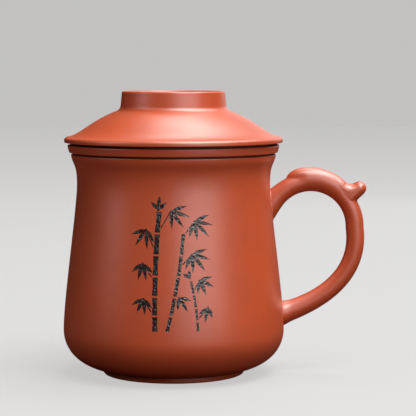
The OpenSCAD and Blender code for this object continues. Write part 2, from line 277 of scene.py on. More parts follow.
def unit(vectors: np.ndarray) -> np.ndarray:
    """The same directions with length 1."""
    return vectors / np.linalg.norm(vectors, axis=-1, keepdims=True)


def off_axis(points: np.ndarray) -> np.ndarray:
    """Distances of points from the Z axis."""
    return np.hypot(points[..., 0], points[..., 1])


def read(items: Any, key: str, kind: type = np.int32, width: int = 1) -> np.ndarray:
    """Reads one property of all the vertices, loops or polygons of a mesh.

    Args:
        items: The mesh's vertices, loops or polygons.
        key: The property's name.
        kind: Its type in numpy.
        width: How many numbers it is made of.

    Returns:
        The values, of shape (n, width).
    """
    flat = np.empty(len(items) * width, kind)
    items.foreach_get(key, flat)
    return flat.reshape(-1, width)


def positions(mesh: bpy.types.Mesh) -> np.ndarray:
    """Vertex places of a mesh in millimetres, of shape (n, 3)."""
    return read(mesh.vertices, "co", np.float32, 3).astype(float) / MM


def bake(piece: bpy.types.Object) -> None:
    """Applies a piece's modifiers and keeps its name.

    Args:
        piece: The piece.
    """
    graph = bpy.context.evaluated_depsgraph_get()
    mesh = bpy.data.meshes.new_from_object(piece.evaluated_get(graph), depsgraph=graph)
    piece.modifiers.clear()
    old, piece.data = piece.data, mesh
    mesh.name = piece.name
    bpy.data.meshes.remove(old)


# ---- Shaders ----


class Reading:
    """One socket of a shader tree. Arithmetic on it adds Math nodes to the tree."""

    def __init__(self, tree: "ShaderTree", socket: bpy.types.NodeSocket) -> None:
        """Wraps a socket.

        Args:
            tree: The tree that the socket is in.
            socket: An output socket.
        """
        self.tree = tree
        self.socket = socket

    def _math(self, operation: str, *terms: "Reading | float") -> "Reading":
        """Adds a Math node on the given terms."""
        return self.tree.add("ShaderNodeMath", {"operation": operation}, dict(enumerate(terms)))

    def __add__(self, other: "Reading | float") -> "Reading":
        """This value plus another."""
        return self._math("ADD", self, other)

    def __radd__(self, other: float) -> "Reading":
        """A number plus this value."""
        return self._math("ADD", other, self)

    def __sub__(self, other: "Reading | float") -> "Reading":
        """This value less another."""
        return self._math("SUBTRACT", self, other)

    def __rsub__(self, other: float) -> "Reading":
        """A number less this value."""
        return self._math("SUBTRACT", other, self)

    def __mul__(self, other: "Reading | float") -> "Reading":
        """This value times another."""
        return self._math("MULTIPLY", self, other)

    def __rmul__(self, other: float) -> "Reading":
        """A number times this value."""
        return self._math("MULTIPLY", other, self)

    def __pow__(self, power: "Reading | float") -> "Reading":
        """This value to a power."""
        return self._math("POWER", self, power)

    def __rpow__(self, base: float) -> "Reading":
        """A number to the power of this value."""
        return self._math("POWER", base, self)

    def rise(self, low: float, high: float) -> "Reading":
        """Rises smoothly from 0 where this value is low to 1 where it is high.

        Args:
            low: Value at which the rise starts.
            high: Value at which it ends.

        Returns:
            How far it has risen.
        """
        return self.tree.add(
            "ShaderNodeMapRange",
            {"interpolation_type": "SMOOTHSTEP"},
            {"Value": self, "From Min": low, "From Max": high, "To Min": 0.0, "To Max": 1.0},
        )


@dataclass(frozen=True)
class Noise:
    """Noise between 0 and 1 about its mean.

    It has the size of its features along X, Y and Z in millimetres, the number of its finer
    layers, and how strong each finer layer is beside the one before.
    """

    size: Triple
    detail: float = 2.0
    roughness: float = 0.5


class ShaderTree:
    """The node tree of one material or of the world."""

    def __init__(self, owner: bpy.types.Material | bpy.types.World) -> None:
        """Empties the owner's tree.

        Args:
            owner: The material or world whose nodes are made.
        """
        owner.use_nodes = True
        self.nodes = owner.node_tree.nodes
        self.links = owner.node_tree.links
        self.nodes.clear()

    def add(
        self, kind: str, settings: dict[str, Any] | None = None,
        sockets: dict[str | int, Any] | None = None, output: str | int = 0,
    ) -> Reading:
        """Adds a node: its settings first, then the values or links of its sockets.

        Args:
            kind: The node's type.
            settings: The node's own settings.
            sockets: Values or readings for its input sockets, by name or number.
            output: Which output socket to return.

        Returns:
            The chosen output.
        """
        node = self.nodes.new(kind)
        for key, value in (settings or {}).items():
            setattr(node, key, value)
        for key, value in (sockets or {}).items():
            if isinstance(value, Reading):
                self.links.new(value.socket, node.inputs[key])
            else:
                node.inputs[key].default_value = value
        return Reading(self, node.outputs[output] if len(node.outputs) else None)

    def place(self) -> Reading:
        """Object coordinates, in metres."""
        return self.add("ShaderNodeTexCoord", output="Object")

    def axes(self) -> tuple[Reading, Reading, Reading]:
        """The three object coordinates in millimetres.

        Returns:
            X, Y and Z.
        """
        place = {"Vector": self.place()}
        return tuple(
            self.add("ShaderNodeSeparateXYZ", {}, place, axis) * (1.0 / MM) for axis in "XYZ"
        )

    def noise(self, noise: Noise) -> Reading:
        """Reads a noise at the object coordinates.

        Args:
            noise: The noise.

        Returns:
            The noise's value.
        """
        place = {"Vector": self.place(), "Scale": tuple(1.0 / (size * MM) for size in noise.size)}
        spot = self.add("ShaderNodeMapping", {"vector_type": "POINT"}, place)
        layers = {"Detail": noise.detail, "Roughness": noise.roughness}
        return self.add("ShaderNodeTexNoise", {}, {"Vector": spot, "Scale": 1.0, **layers})

    def pits(self, spacing: float, radius: float) -> Reading:
        """Scattered pits: 1 in the middle of each and 0 outside.

        Args:
            spacing: Mean distance between pits in millimetres.
            radius: Radius of a pit in millimetres.

        Returns:
            The pits' mask.
        """
        cells = {"Vector": self.place(), "Scale": 1.0 / (spacing * MM)}
        apart = self.add("ShaderNodeTexVoronoi", {}, cells, "Distance")
        return 1.0 - apart.rise(0.0, radius / spacing)

    def blend(self, factor: "Reading | float", low: Any, high: Any, mode: str = "MIX") -> Reading:
        """Mixes two colours, from low where the factor is 0 to high where it is 1.

        Args:
            factor: How much of the second colour.
            low: First colour, a triple or a reading.
            high: Second colour, a triple or a reading.
            mode: The blend's mode.

        Returns:
            The mixed colour.
        """
        ends = [c if isinstance(c, Reading) else (*c, 1.0) for c in (low, high)]
        settings = {"data_type": "RGBA", "blend_type": mode}
        return self.add("ShaderNodeMix", settings, {0: factor, 6: ends[0], 7: ends[1]}, 2)

    def relief(self, height: Reading) -> Reading:
        """A normal that follows a height in millimetres."""
        return self.add("ShaderNodeBump", {}, {"Strength": 1.0, "Distance": MM, "Height": height})

    def surface(self, shader: Reading, output: str = "ShaderNodeOutputMaterial") -> None:
        """Makes a shader the surface of the tree's output node."""
        self.add(output, {}, {"Surface": shader})


# ---- Finishes ----


@dataclass(frozen=True)
class Recess:
    """A ring-shaped space round the Z axis, in millimetres, where a seam's recess gets painted
    shade.
    """

    inner_r: float
    outer_r: float
    low: float
    high: float
    edge: float = 0.06
    fade: float = 0.8

    def mask(self, tree: ShaderTree) -> Reading:
        """1 inside the recess and 0 outside. It fades over the last part of its radius.

        Args:
            tree: The tree that the mask is made in.

        Returns:
            The mask's value.
        """
        x, y, z = tree.axes()
        away = (x * x + y * y) ** 0.5
        ring = away.rise(self.inner_r - self.edge, self.inner_r)
        ring = ring * (1.0 - away.rise(self.outer_r - self.fade, self.outer_r))
        above = z.rise(self.low - self.edge, self.low)
        return ring * above * (1.0 - z.rise(self.high, self.high + self.edge))


@dataclass(frozen=True)
class Finish:
    """A material on one shader. Each kind of finish works out the shader's sockets."""

    name: str

    def sockets(self, tree: ShaderTree) -> dict[str, Any]:
        """Values or readings for the shader's sockets."""
        raise NotImplementedError

    def material(self) -> bpy.types.Material:
        """Builds the material.

        Returns:
            The material, with its nodes.
        """
        material = bpy.data.materials.new(self.name)
        tree = ShaderTree(material)
        tree.surface(tree.add("ShaderNodeBsdfPrincipled", {}, self.sockets(tree)))
        return material


@dataclass(frozen=True)
class FiredClay(Finish):
    """Unglazed red clay, burnished on the wheel to a satin surface.

    Its colour drifts in soft clouds, with fine dark and pale grains in it. Burnishing leaves faint
    level streaks in the gloss and the relief, and a few pinholes. The recesses of the seams get
    painted shade: darker and duller. Spans are the values between which a noise rises from 0 to 1.
    """

    name: str = "burnished_red_clay"
    body: Colour = (0.505, 0.074, 0.018)
    smoked: Colour = (0.420, 0.058, 0.014)
    grain_pale: Colour = (0.62, 0.15, 0.06)
    grain_dark: Colour = (0.19, 0.030, 0.012)
    painted_seam_shade: Colour = (0.13, 0.017, 0.005)
    roughness: float = 0.40
    ior: float = 2.0
    clouds: Noise = Noise((26.0, 26.0, 18.0), 3.0)
    cloud_span: Pair = (0.36, 0.66)
    cloud_share: float = 0.5
    cloud_gloss: float = 0.03
    grains: Noise = Noise((0.55, 0.55, 0.55), 2.0, 0.6)
    pale_span: Pair = (0.58, 0.78)
    dark_span: Pair = (0.24, 0.42)
    grain_share: float = 0.16
    grain_gloss: float = 0.08
    grain_depth: float = 0.004
    streaks: Noise = Noise((28.0, 28.0, 0.9), 3.0, 0.6)
    streak_gloss: float = 0.10
    streak_depth: float = 0.012
    pit_spacing: float = 4.2
    pit_r: float = 0.22
    pit_share: float = 0.5
    pit_depth: float = 0.03
    # The seams' recesses, where painted shade darkens the clay and dulls its gloss.
    recesses: tuple[Recess, ...] = (Recess(41.3, 43.8, 94.6, 95.5), Recess(41.5, 44.4, 98.7, 99.85))
    painted_seam_shade_share: float = 0.9
    painted_seam_shade_gloss: float = 0.38

    def sockets(self, tree: ShaderTree) -> dict[str, Any]:
        """Colour, gloss and relief from the clouds, grains, streaks, pinholes, and painted shade in
        the recesses.

        Args:
            tree: The material's tree.

        Returns:
            The shader's sockets.
        """
        cloud = tree.noise(self.clouds).rise(*self.cloud_span)
        grain, streak = tree.noise(self.grains), tree.noise(self.streaks)
        pit = tree.pits(self.pit_spacing, self.pit_r)
        pale, dark = self.grain_pale, self.grain_dark
        colour = tree.blend(cloud * self.cloud_share, self.body, self.smoked)
        colour = tree.blend(grain.rise(*self.pale_span) * self.grain_share, colour, pale)
        colour = tree.blend((1.0 - grain.rise(*self.dark_span)) * self.grain_share, colour, dark)
        colour = tree.blend(pit * self.pit_share, colour, dark)
        gloss = self.roughness + (streak - NOISE_MEAN) * self.streak_gloss
        gloss = gloss + (grain - NOISE_MEAN) * self.grain_gloss
        gloss = gloss + (cloud - NOISE_MEAN) * self.cloud_gloss
        # Painted shade: the seams' recesses are darkened and made duller.
        for recess in self.recesses:
            mask = recess.mask(tree)
            colour = tree.blend(mask * self.painted_seam_shade_share, colour, self.painted_seam_shade)
            gloss = gloss + mask * self.painted_seam_shade_gloss
        height = streak * self.streak_depth + grain * self.grain_depth - pit * self.pit_depth
        normal = tree.relief(height)
        return {"Base Color": colour, "Roughness": gloss, "IOR": self.ior, "Normal": normal}


@dataclass(frozen=True)
class BareClay(Finish):
    """The same clay left as thrown: matt, open-grained, with the rings that fingers leave."""

    name: str = "bare_red_clay"
    body: Colour = (0.42, 0.085, 0.033)
    dusty: Colour = (0.48, 0.12, 0.053)
    grain_shade: Colour = (0.8, 0.8, 0.8)
    roughness: float = 0.62
    clouds: Noise = Noise((17.0, 17.0, 12.0), 3.0)
    cloud_span: Pair = (0.35, 0.68)
    cloud_share: float = 0.6
    grains: Noise = Noise((0.7, 0.7, 0.7), 3.0, 0.6)
    grain_span: Pair = (0.30, 0.70)
    grain_gloss: float = 0.14
    grain_depth: float = 0.02
    rings: Noise = Noise((60.0, 60.0, 3.4), 1.0)
    ring_depth: float = 0.05

    def sockets(self, tree: ShaderTree) -> dict[str, Any]:
        """Colour, gloss and relief from the clouds, grains and throwing rings.

        Args:
            tree: The material's tree.

        Returns:
            The shader's sockets.
        """
        cloud = tree.noise(self.clouds).rise(*self.cloud_span)
        grain, rings = tree.noise(self.grains), tree.noise(self.rings)
        colour = tree.blend(cloud * self.cloud_share, self.body, self.dusty)
        colour = tree.blend(grain.rise(*self.grain_span), colour, self.grain_shade, "MULTIPLY")
        height = rings * self.ring_depth + grain * self.grain_depth
        gloss = self.roughness + (grain - NOISE_MEAN) * self.grain_gloss
        return {"Base Color": colour, "Roughness": gloss, "Normal": tree.relief(height)}


@dataclass(frozen=True)
class CarvedInk(Finish):
    """Charcoal ink brushed into the carving: uneven, glossy and lumpy, thin in places."""

    name: str = "charcoal_ink"
    deep: Colour = (0.009, 0.009, 0.010)
    thin: Colour = (0.040, 0.024, 0.021)
    roughness: float = 0.26
    ior: float = 1.85
    brush: Noise = Noise((1.4, 1.4, 2.6), 3.0, 0.65)
    thin_span: Pair = (0.48, 0.72)
    thin_share: float = 0.8
    brush_gloss: float = 0.2
    brush_depth: float = 0.12
    lumps: Noise = Noise((1.15, 1.15, 0.85), 1.0)
    lump_depth: float = 0.50
    grains: Noise = Noise((0.4, 0.4, 0.4), 2.0, 0.6)
    grain_depth: float = 0.06

    def sockets(self, tree: ShaderTree) -> dict[str, Any]:
        """Colour, gloss and relief from the brush's strokes, the lumps and the grain.

        Args:
            tree: The material's tree.

        Returns:
            The shader's sockets.
        """
        brushed, lumps = tree.noise(self.brush), tree.noise(self.lumps)
        grain = tree.noise(self.grains)
        colour = tree.blend(brushed.rise(*self.thin_span) * self.thin_share, self.deep, self.thin)
        height = brushed * self.brush_depth + lumps * self.lump_depth + grain * self.grain_depth
        gloss = self.roughness + (brushed - NOISE_MEAN) * self.brush_gloss
        normal = tree.relief(height)
        return {"Base Color": colour, "Roughness": gloss, "IOR": self.ior, "Normal": normal}


@dataclass(frozen=True)
class PaleSurround(Finish):
    """A matt pale floor whose paleness only a camera sees, so that it doesn't light the clay.

    Most of what a camera sees is an even glow, and the rest is lit, which keeps the shadow.
    """

    name: str = "pale_floor"
    glow: Colour = PALE
    lit: Colour = (0.125, 0.125, 0.123)
    unseen: Colour = (0.075, 0.026, 0.018)
    mottles: Noise = Noise((90.0, 90.0, 90.0))
    mottle_span: Pair = (0.3, 0.7)
    mottle_share: float = 0.1
    mottle_shade: float = 0.8

    def sockets(self, tree: ShaderTree) -> dict[str, Any]:
        """One colour and glow for a camera, and another for every other ray.

        Args:
            tree: The material's tree.

        Returns:
            The shader's sockets.
        """
        seen = tree.add("ShaderNodeLightPath", output="Is Camera Ray")
        mottle = tree.noise(self.mottles).rise(*self.mottle_span) * self.mottle_share
        lit = tree.blend(mottle, self.lit, tuple(self.mottle_shade * c for c in self.lit))
        return {
            "Base Color": tree.blend(seen, self.unseen, lit),
            "Emission Color": tree.blend(seen, (0.0, 0.0, 0.0), self.glow),
            "Emission Strength": 1.0, "Roughness": 1.0, "Specular IOR Level": 0.0,
        }


# ---- Sub-assemblies ----


class Assembly:
    """A body of the object: it builds its pieces and dresses them."""

    body: Body

    def __init__(self, finishes: dict[Slot, bpy.types.Material]) -> None:
        """Keeps the finishes that the pieces take, and measures the solids.

        Args:
            finishes: A material for each slot.
        """
        self.finishes = finishes
        self.measure()

    def measure(self) -> None:
        """Takes the overall sizes from the solids."""
        raise NotImplementedError

    def build(self) -> None:
        """Builds and dresses the body's pieces."""
        raise NotImplementedError

    def settle(self, piece: bpy.types.Object, slot: Slot, *nodes: str) -> None:
        """Gives a new piece its finish, its body and the solids that it stands for.

        Args:
            piece: The new piece.
            slot: Its material slot.
            nodes: The solids that it replaces.
        """
        piece.data.materials.clear()
        piece.data.materials.append(self.finishes[slot])
        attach(piece, self.body.value)
        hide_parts(*nodes)
        faces = len(piece.data.polygons)
        LOG.info("%s: %d faces, %s, rides on %s", piece.name, faces, slot.value, self.body.value)

    def dress(self, node: str, slot: Slot) -> None:
        """Gives a solid that stays in view its finish.

        Args:
            node: The solid's name.
            slot: Its material slot.
        """
        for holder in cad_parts[node].material_slots:
            holder.material = self.finishes[slot]
        LOG.info("%s: kept, %s", node, slot.value)


@dataclass
class WallShape:
    """The side of the mug: an underside, a belly that narrows to a neck, and a flared mouth.

    Here and below, sizes without a value are measured on the solids.
    """

    rim_z: float
    base_r: float = 31.8
    base_z: float = 2.4
    belly_r: float = 47.6
    belly_z: float = 19.2
    neck_r: float = 41.5
    neck_z: float = 82.3
    rim_r: float = 44.0
    rim_round: float = 0.6
    ledge_r: float = 41.8
    ledge_drop: float = 0.35
    floor_z: float = 6.0
    thick: float = 3.4
    underside_run: float = 15.0
    underside_rise: float = 3.5
    belly_drop: float = 3.0
    belly_hold: float = 12.8
    neck_hold: float = 10.0
    slope_step: float = 0.4

    def curve(self, inset: float, low: float) -> np.ndarray:
        """The whole side: out from the foot to the belly, up to the neck, and out to the mouth.

        Args:
            inset: How far it is set in from the outside.
            low: Height where it starts.

        Returns:
            Points of shape (n, 2).
        """
        radii = (self.base_r, self.belly_r, self.neck_r, self.rim_r)
        base_r, belly_r, neck_r, rim_r = (r - inset for r in radii)
        belly, neck = (belly_r, self.belly_z), (neck_r, self.neck_z)
        lip = (rim_r, self.rim_z - self.rim_round)
        return chain(
            bezier(
                (base_r, low), (base_r + self.underside_run, low + self.underside_rise),
                (belly_r, self.belly_z - self.belly_drop), belly, steps=34,
            ),
            bezier(
                belly, (belly_r, self.belly_z + self.belly_hold),
                (neck_r, self.neck_z - self.neck_hold), neck, steps=48,
            ),
            mouth(neck, lip, steps=20),
        )

    def radius(self, height: np.ndarray) -> np.ndarray:
        """Outside radius at a height, read off the curve."""
        points = self.curve(0.0, self.base_z)
        return np.interp(height, points[:, 1], points[:, 0])

    def outward(self, places: np.ndarray) -> np.ndarray:
        """Unit normals of the outside at the given places.

        A normal is the radial direction less the wall's slope (change of radius with height) times
        the upward one, made a unit.

        Args:
            places: Places on the wall in millimetres, of shape (n, 3).

        Returns:
            Normals of shape (n, 3).
        """
        height, step = places[:, 2], self.slope_step
        slope = (self.radius(height + step) - self.radius(height - step)) / (2 * step)
        away = np.maximum(off_axis(places), TINY)
        return unit(np.stack([places[:, 0] / away, places[:, 1] / away, -slope], axis=1))

    def clearance(self, places: np.ndarray) -> np.ndarray:
        """How far places stand outside the wall, measured level: below 0 within it."""
        return off_axis(places) - self.radius(places[..., 2])


@dataclass
class HandleShape:
    """The loop, its crest and its thumb curl, all in the plane Y = 0.

    Each row of fan is one tube of the clay under the curl: the crown's angle and the lift where it
    starts, and how far along and below the curl's tip it ends. Each row of slip_waves is a wave of
    the thread's radius: its share of the radius, its number of crests and its phase.
    """

    centre: Pair = (58.953, 63.25)
    crown_r: float = 19.247
    root_turn: float = 145.0
    root_run: float = 9.0
    thick: float = 7.8
    upper_thick: float = 8.5
    lower_thick: float = 10.0
    lower_root: Pair = (41.911, 24.1)
    sweep_hold: float = 3.0
    lower_run: float = 44.0
    lower_angle: float = 14.8
    crest_r: float = 3.2
    waist_r: float = 2.25
    crest_lift: float = 3.2
    crest_from: float = 117.0
    crest_to: float = 52.0
    nose: float = 16.0
    taut_from: float = 107.0
    taut_to: float = 93.0
    crease_round: float = 0.12
    taut_round: float = 0.8
    sink_start: float = 2.0
    sink_end: float = -14.0
    upper_power: int = 3
    lower_power: int = 8
    root_steps: int = 20
    crown_steps: int = 110
    sweep_steps: int = 100
    stem_r: float = 3.0
    stem_lead: float = 24.0
    stem_lead_r: float = 1.5
    stem_width: float = 1.30
    curl_run: float = 7.4
    curl_drop: float = 1.1
    curl_out: float = 3.4
    curl_back: float = 3.4
    curl_end_r: float = 3.0
    curl_angle: float = 28.0
    curl_swell: float = 0.7
    nose_part: float = 0.985
    lead_steps: int = 16
    curl_steps: int = 26
    nose_steps: int = 13
    fan: tuple[tuple[float, float, float, float], ...] = (
        (36.3, 1.4, 0.05, 0.15), (41.0, 1.2, -0.5, 0.3), (46.0, 0.9, -1.0, 0.6),
    )
    fan_r: float = 3.0
    fan_steps: int = 12
    upper_flare: float = 0.25
    lower_flare: float = 0.5
    flare_reach: float = 2.2
    bury: float = 1.6
    slip_r: float = 0.24
    slip_waves: tuple[tuple[float, int, float], ...] = ((0.35, 7, 1.0), (0.25, 17, 2.0))
    slip_columns: int = 168
    slip_sides: int = 10
    columns: int = 56
    voxel: float = 0.25
    smoothing: int = 16
    smooth_factor: float = 0.5

    def crown(self, angle: np.ndarray | float, lift: np.ndarray | float = 0.0) -> np.ndarray:
        """Points of the crown's arc at angles in degrees, raised by lift."""
        return self.centre + np.expand_dims(self.crown_r + lift, -1) * direction(angle)

    def spine(self) -> tuple[np.ndarray, np.ndarray, np.ndarray]:
        """The loop's centre line.

        A straight root runs out of the wall into the crown's arc, whose radius of section falls
        off with a power of the way left. The sweep down to the lower root is a cubic curve whose
        section swells with a high power of the way gone.

        Returns:
            Points (x, z), section radii, and the crown's angle at each point (below 0 past it).
        """
        run = np.linspace(self.root_run, 0.0, self.root_steps, endpoint=False)[:, None]
        root = self.crown(self.root_turn) + run * direction(self.root_turn + 90.0)
        t = np.linspace(1.0, 0.0, self.crown_steps)
        far, low, steps = self.crown(0.0), self.lower_root, self.sweep_steps
        arriving = low + self.lower_run * direction(self.lower_angle)
        sweep = bezier(far, far - [0.0, self.sweep_hold], arriving, low, steps)[1:]
        u = np.arange(1, steps + 1) / steps
        return (
            np.vstack([root, self.crown(self.root_turn * t), sweep]),
            np.concatenate([
                np.full(len(root), self.upper_thick),
                self.thick + (self.upper_thick - self.thick) * t**self.upper_power,
                self.thick + (self.lower_thick - self.thick) * u**self.lower_power,
            ]) / 2,
            np.concatenate([np.full(len(root), self.root_turn), self.root_turn * t, -90.0 * u]),
        )

    def crest_section(self, angle: np.ndarray) -> tuple[np.ndarray, np.ndarray]:
        """Radius and lift of the crest at angles of the crown.

        Its radius rises from the nose as half an ellipse and thins towards the waist with the
        square of the way gone. Past the waist it sinks into the loop.

        Args:
            angle: Angles in degrees, of shape (n,).

        Returns:
            Radii and lifts, each of shape (n,).
        """
        on_nose = np.clip((self.crest_from - angle) / self.nose, 0.0, 1.0)
        back = self.crest_from - self.nose
        on_back = np.clip((back - angle) / (back - self.crest_to), 0.0, 1.0)
        sink = smooth_step(self.crest_to + self.sink_start, self.crest_to + self.sink_end, angle)
        full = self.crest_r + (self.waist_r - self.crest_r) * on_back**2
        radius = full * np.sqrt(np.maximum(1.0 - (1.0 - on_nose) ** 2, 0.0))
        return radius, self.crest_lift * (1.0 - sink)

    def skin(self, wall: WallShape) -> tuple[np.ndarray, np.ndarray]:
        """The loop with its crest as one skin of rings.

        Each section is star-shaped about the centre line. At the nose it is the union of the
        loop's circle and the crest's, with a softly rounded crease between them, and past the
        nose it becomes one ellipse round both. Near the wall it flares by a bell of the distance.

        Args:
            wall: The wall that the loop is luted to.

        Returns:
            Points in millimetres of shape (rings, columns, 3), and the centre line.
        """
        line, radius, angle = self.spine()
        around = turns(self.columns)[None, :]
        crest, lift = (v[:, None] for v in self.crest_section(angle))
        radius = radius[:, None]
        taut = smooth_step(self.taut_from, self.taut_to, angle)[:, None]
        section = (1.0 - taut) * self._creased(radius, crest, lift, around)
        section = section + taut * self._taut(radius, lift + crest, around)
        flare = np.where(angle > 0.0, self.upper_flare, self.lower_flare)[:, None]
        gap = wall.clearance(self._carry(line, section))
        section = section + flare * np.exp(-((gap / self.flare_reach) ** 2))
        return self._carry(line, section), line

    def loop(self, wall: WallShape) -> Shell:
        """The loop with its crest as a closed mesh: points in millimetres, and faces."""
        return self._closed(*self.skin(wall))

    def slip(self, wall: WallShape) -> Shell:
        """The uneven thread of slip squeezed out round the upper root.

        Each line of the loop's skin is followed out to where its distance from the wall turns
        from below 0 to above it. A thin tube runs through those places, and sine waves of the
        turn vary its radius.

        Args:
            wall: The wall that the loop is luted to.

        Returns:
            Points in millimetres of shape (n, 3), and faces.
        """
        rings = self.skin(wall)[0]
        gap = wall.clearance(rings)
        after, column = np.argmax(gap > 0.0, axis=0), np.arange(self.columns)
        before = after - 1
        share = (gap[before, column] / (gap[before, column] - gap[after, column]))[:, None]
        knots = rings[before, column] * (1.0 - share) + rings[after, column] * share
        u = np.linspace(0.0, 1.0, self.slip_columns, endpoint=False)
        at = np.arange(self.columns) / self.columns
        path = np.stack([np.interp(u, at, knots[:, axis], period=1.0) for axis in range(3)], axis=1)
        ahead = unit(np.roll(path, -1, axis=0) - np.roll(path, 1, axis=0))
        away = wall.outward(path)
        across = np.cross(ahead, away)
        waves = (part * np.sin(n * 2 * np.pi * u + phase) for part, n, phase in self.slip_waves)
        radius = self.slip_r * sum(waves, 1.0)
        around = turns(self.slip_sides)[None, :, None]
        wheel = np.cos(around) * away[:, None] + np.sin(around) * across[:, None]
        points = path[:, None] + radius[:, None, None] * wheel
        return points.reshape(-1, 3), [grid_faces(self.slip_columns, self.slip_sides, True)]

    def _creased(
        self, radius: np.ndarray, crest: np.ndarray, lift: np.ndarray, around: np.ndarray
    ) -> np.ndarray:
        """Skin of two overlapping circles with a crease between them.

        It is the larger of the loop's radius and the far side of the crest's circle seen from the
        centre line, which is the lift times the cosine of the turn, plus the root of the crest's
        radius squared less the square of the lift times the sine.

        Args:
            radius: The loop's radii, of shape (n, 1).
            crest: The crest's radii, of shape (n, 1).
            lift: How far the crest's middle stands off the loop's, of shape (n, 1).
            around: Turns in radians from the outward side, of shape (1, m).

        Returns:
            The skin's radius at each turn, of shape (n, m).
        """
        inside = crest**2 - (lift * np.sin(around)) ** 2
        far_side = lift * np.cos(around) + np.sqrt(np.maximum(inside, 0.0))
        bump = np.where((inside > 0.0) & (np.cos(around) > 0.0), far_side, 0.0)
        return smooth_max(np.broadcast_to(radius, bump.shape), bump, self.crease_round)

    def _taut(self, radius: np.ndarray, reach: np.ndarray, around: np.ndarray) -> np.ndarray:
        """One ellipse round the loop and its crest, seen from the loop's centre line.

        It runs from the loop's inner side to the crest's back, so its half length is the mean of
        radius and reach, and its middle stands off the centre line by half their difference. It
        is as wide as the loop at the loop's centre line. Its distance at a turn is the larger
        root of the ellipse's equation along that ray.

        Args:
            radius: The loop's radii, of shape (n, 1).
            reach: How far out the crest's back is, of shape (n, 1).
            around: Turns in radians from the outward side, of shape (1, m).

        Returns:
            The skin's radius at each turn, of shape (n, m).
        """
        reach = smooth_max(reach, radius, self.taut_round)
        long, middle = (reach + radius) / 2.0, (reach - radius) / 2.0
        wide = radius * long / np.sqrt(long**2 - middle**2)
        square = (np.cos(around) / long) ** 2 + (np.sin(around) / wide) ** 2
        root = np.sqrt(square - (middle * np.sin(around) / (long * wide)) ** 2)
        return (middle * np.cos(around) / long**2 + root) / square

    def curl(self) -> Shell:
        """The crest's free end: it leaves the crown, dips a little and ends in a blunt thumb.

        Returns:
            Points in millimetres of shape (n, 3), and faces.
        """
        angle = np.linspace(self.crest_to + self.stem_lead, self.crest_to, self.lead_steps)
        full, lift = self.crest_section(angle)
        grown = smooth_step(angle[0], angle[-1], angle)
        lead_r = self.stem_lead_r + (self.stem_r - self.stem_lead_r) * grown
        lead = self.crown(angle, lift + full - lead_r)
        heading, start, tip = direction(self.curl_angle), lead[-1], self.tip()
        leaving = start + self.curl_out * direction(self.crest_to - 90.0)
        bend = bezier(start, leaving, tip - self.curl_back * heading, tip, self.curl_steps)[1:]
        quarter = np.pi / 2 * np.linspace(0.0, self.nose_part, self.nose_steps)[1:]
        nose = tip + self.curl_end_r * np.sin(quarter)[:, None] * heading
        swell = smooth_step(0.0, self.curl_swell, np.arange(1, len(bend) + 1) / len(bend))
        bend_r = lead_r[-1] + (self.curl_end_r - lead_r[-1]) * swell
        radius = np.concatenate([lead_r, bend_r, self.curl_end_r * np.cos(quarter)])
        return self._tube(np.vstack([lead, bend, nose]), radius)

    def fills(self) -> list[Shell]:
        """The clay pressed in under the curl: a fan of straight tubes from the crown to its tip.

        Returns:
            Points in millimetres of shape (n, 3), and faces, of each tube.
        """
        t = np.linspace(0.0, 1.0, self.fan_steps)[:, None]
        tubes = []
        for angle, lift, along, down in self.fan:
            start = self.crown(angle, lift)
            line = start + t * (self.tip() + [along, -down] - start)
            tubes.append(self._tube(line, np.full(len(t), self.fan_r)))
        return tubes

    def tip(self) -> np.ndarray:
        """Middle of the curl's blunt end."""
        return self.crown(self.crest_to, self.crest_lift) + [self.curl_run, -self.curl_drop]

    def _tube(self, line: np.ndarray, radius: np.ndarray) -> Shell:
        """A closed tube along a line in the plane Y = 0, wider across the plane than along it.

        Args:
            line: Points (x, z) of shape (n, 2).
            radius: The tube's radius at each point.

        Returns:
            Points in millimetres of shape (m, 3), and faces.
        """
        section = np.broadcast_to(radius[:, None], (len(line), self.columns))
        return self._closed(self._carry(line, section) * [1.0, self.stem_width, 1.0], line)

    def _closed(self, rings: np.ndarray, line: np.ndarray) -> Shell:
        """Closes rings with a pole at each end of the line that they stand on."""
        ends = ((line[end, 0], 0.0, line[end, 1]) for end in (0, -1))
        return capped(rings.reshape(-1, 3), self.columns, *ends)

    def _carry(self, line: np.ndarray, section: np.ndarray) -> np.ndarray:
        """Carries sections along a line in the plane Y = 0.

        Each place is the line's point, plus the section's radius times the cosine of the turn along
        the line's outward normal and times its sine along Y.

        Args:
            line: Points (x, z) of shape (n, 2).
            section: Radius at each turn, of shape (n, columns).

        Returns:
            Points of shape (n, columns, 3).
        """
        heading, around = unit(np.gradient(line, axis=0)), turns(self.columns)
        away, across = section * np.cos(around), section * np.sin(around)
        x = line[:, :1] - heading[:, 1:] * away
        return np.stack([x, across, line[:, 1:] + heading[:, :1] * away], axis=-1)


@dataclass
class FootShape:
    """The turned ring that the mug stands on."""

    height: float
    outer_r: float = 30.4
    width: float = 4.2
    bevel: float = 0.8

    def outline(self) -> np.ndarray:
        """The ring's section, with rounded lower edges.

        Returns:
            Points (radius, height) in millimetres, of shape (n, 2).
        """
        inner = self.outer_r - self.width
        return chain(
            [[inner, self.height]], arc([inner + self.bevel, self.bevel], self.bevel, 180, 270),
            arc([self.outer_r - self.bevel, self.bevel], self.bevel, 270, 360),
            [[self.outer_r, self.height]],
        )


@dataclass
class CarvingShape:
    """How the inlays' outlines are cut into the wall, and where the wall's shading is mended."""

    nodes: tuple[str, ...] = ("culm_inlay", "leaf_inlay")
    weld_digits: int = 4
    face_depth: float = 0.375
    drawn: float = 1.2
    skin: float = 0.03
    above_foot: float = 0.5
    below_rim: float = 1.0
    least_cosine: float = 0.9


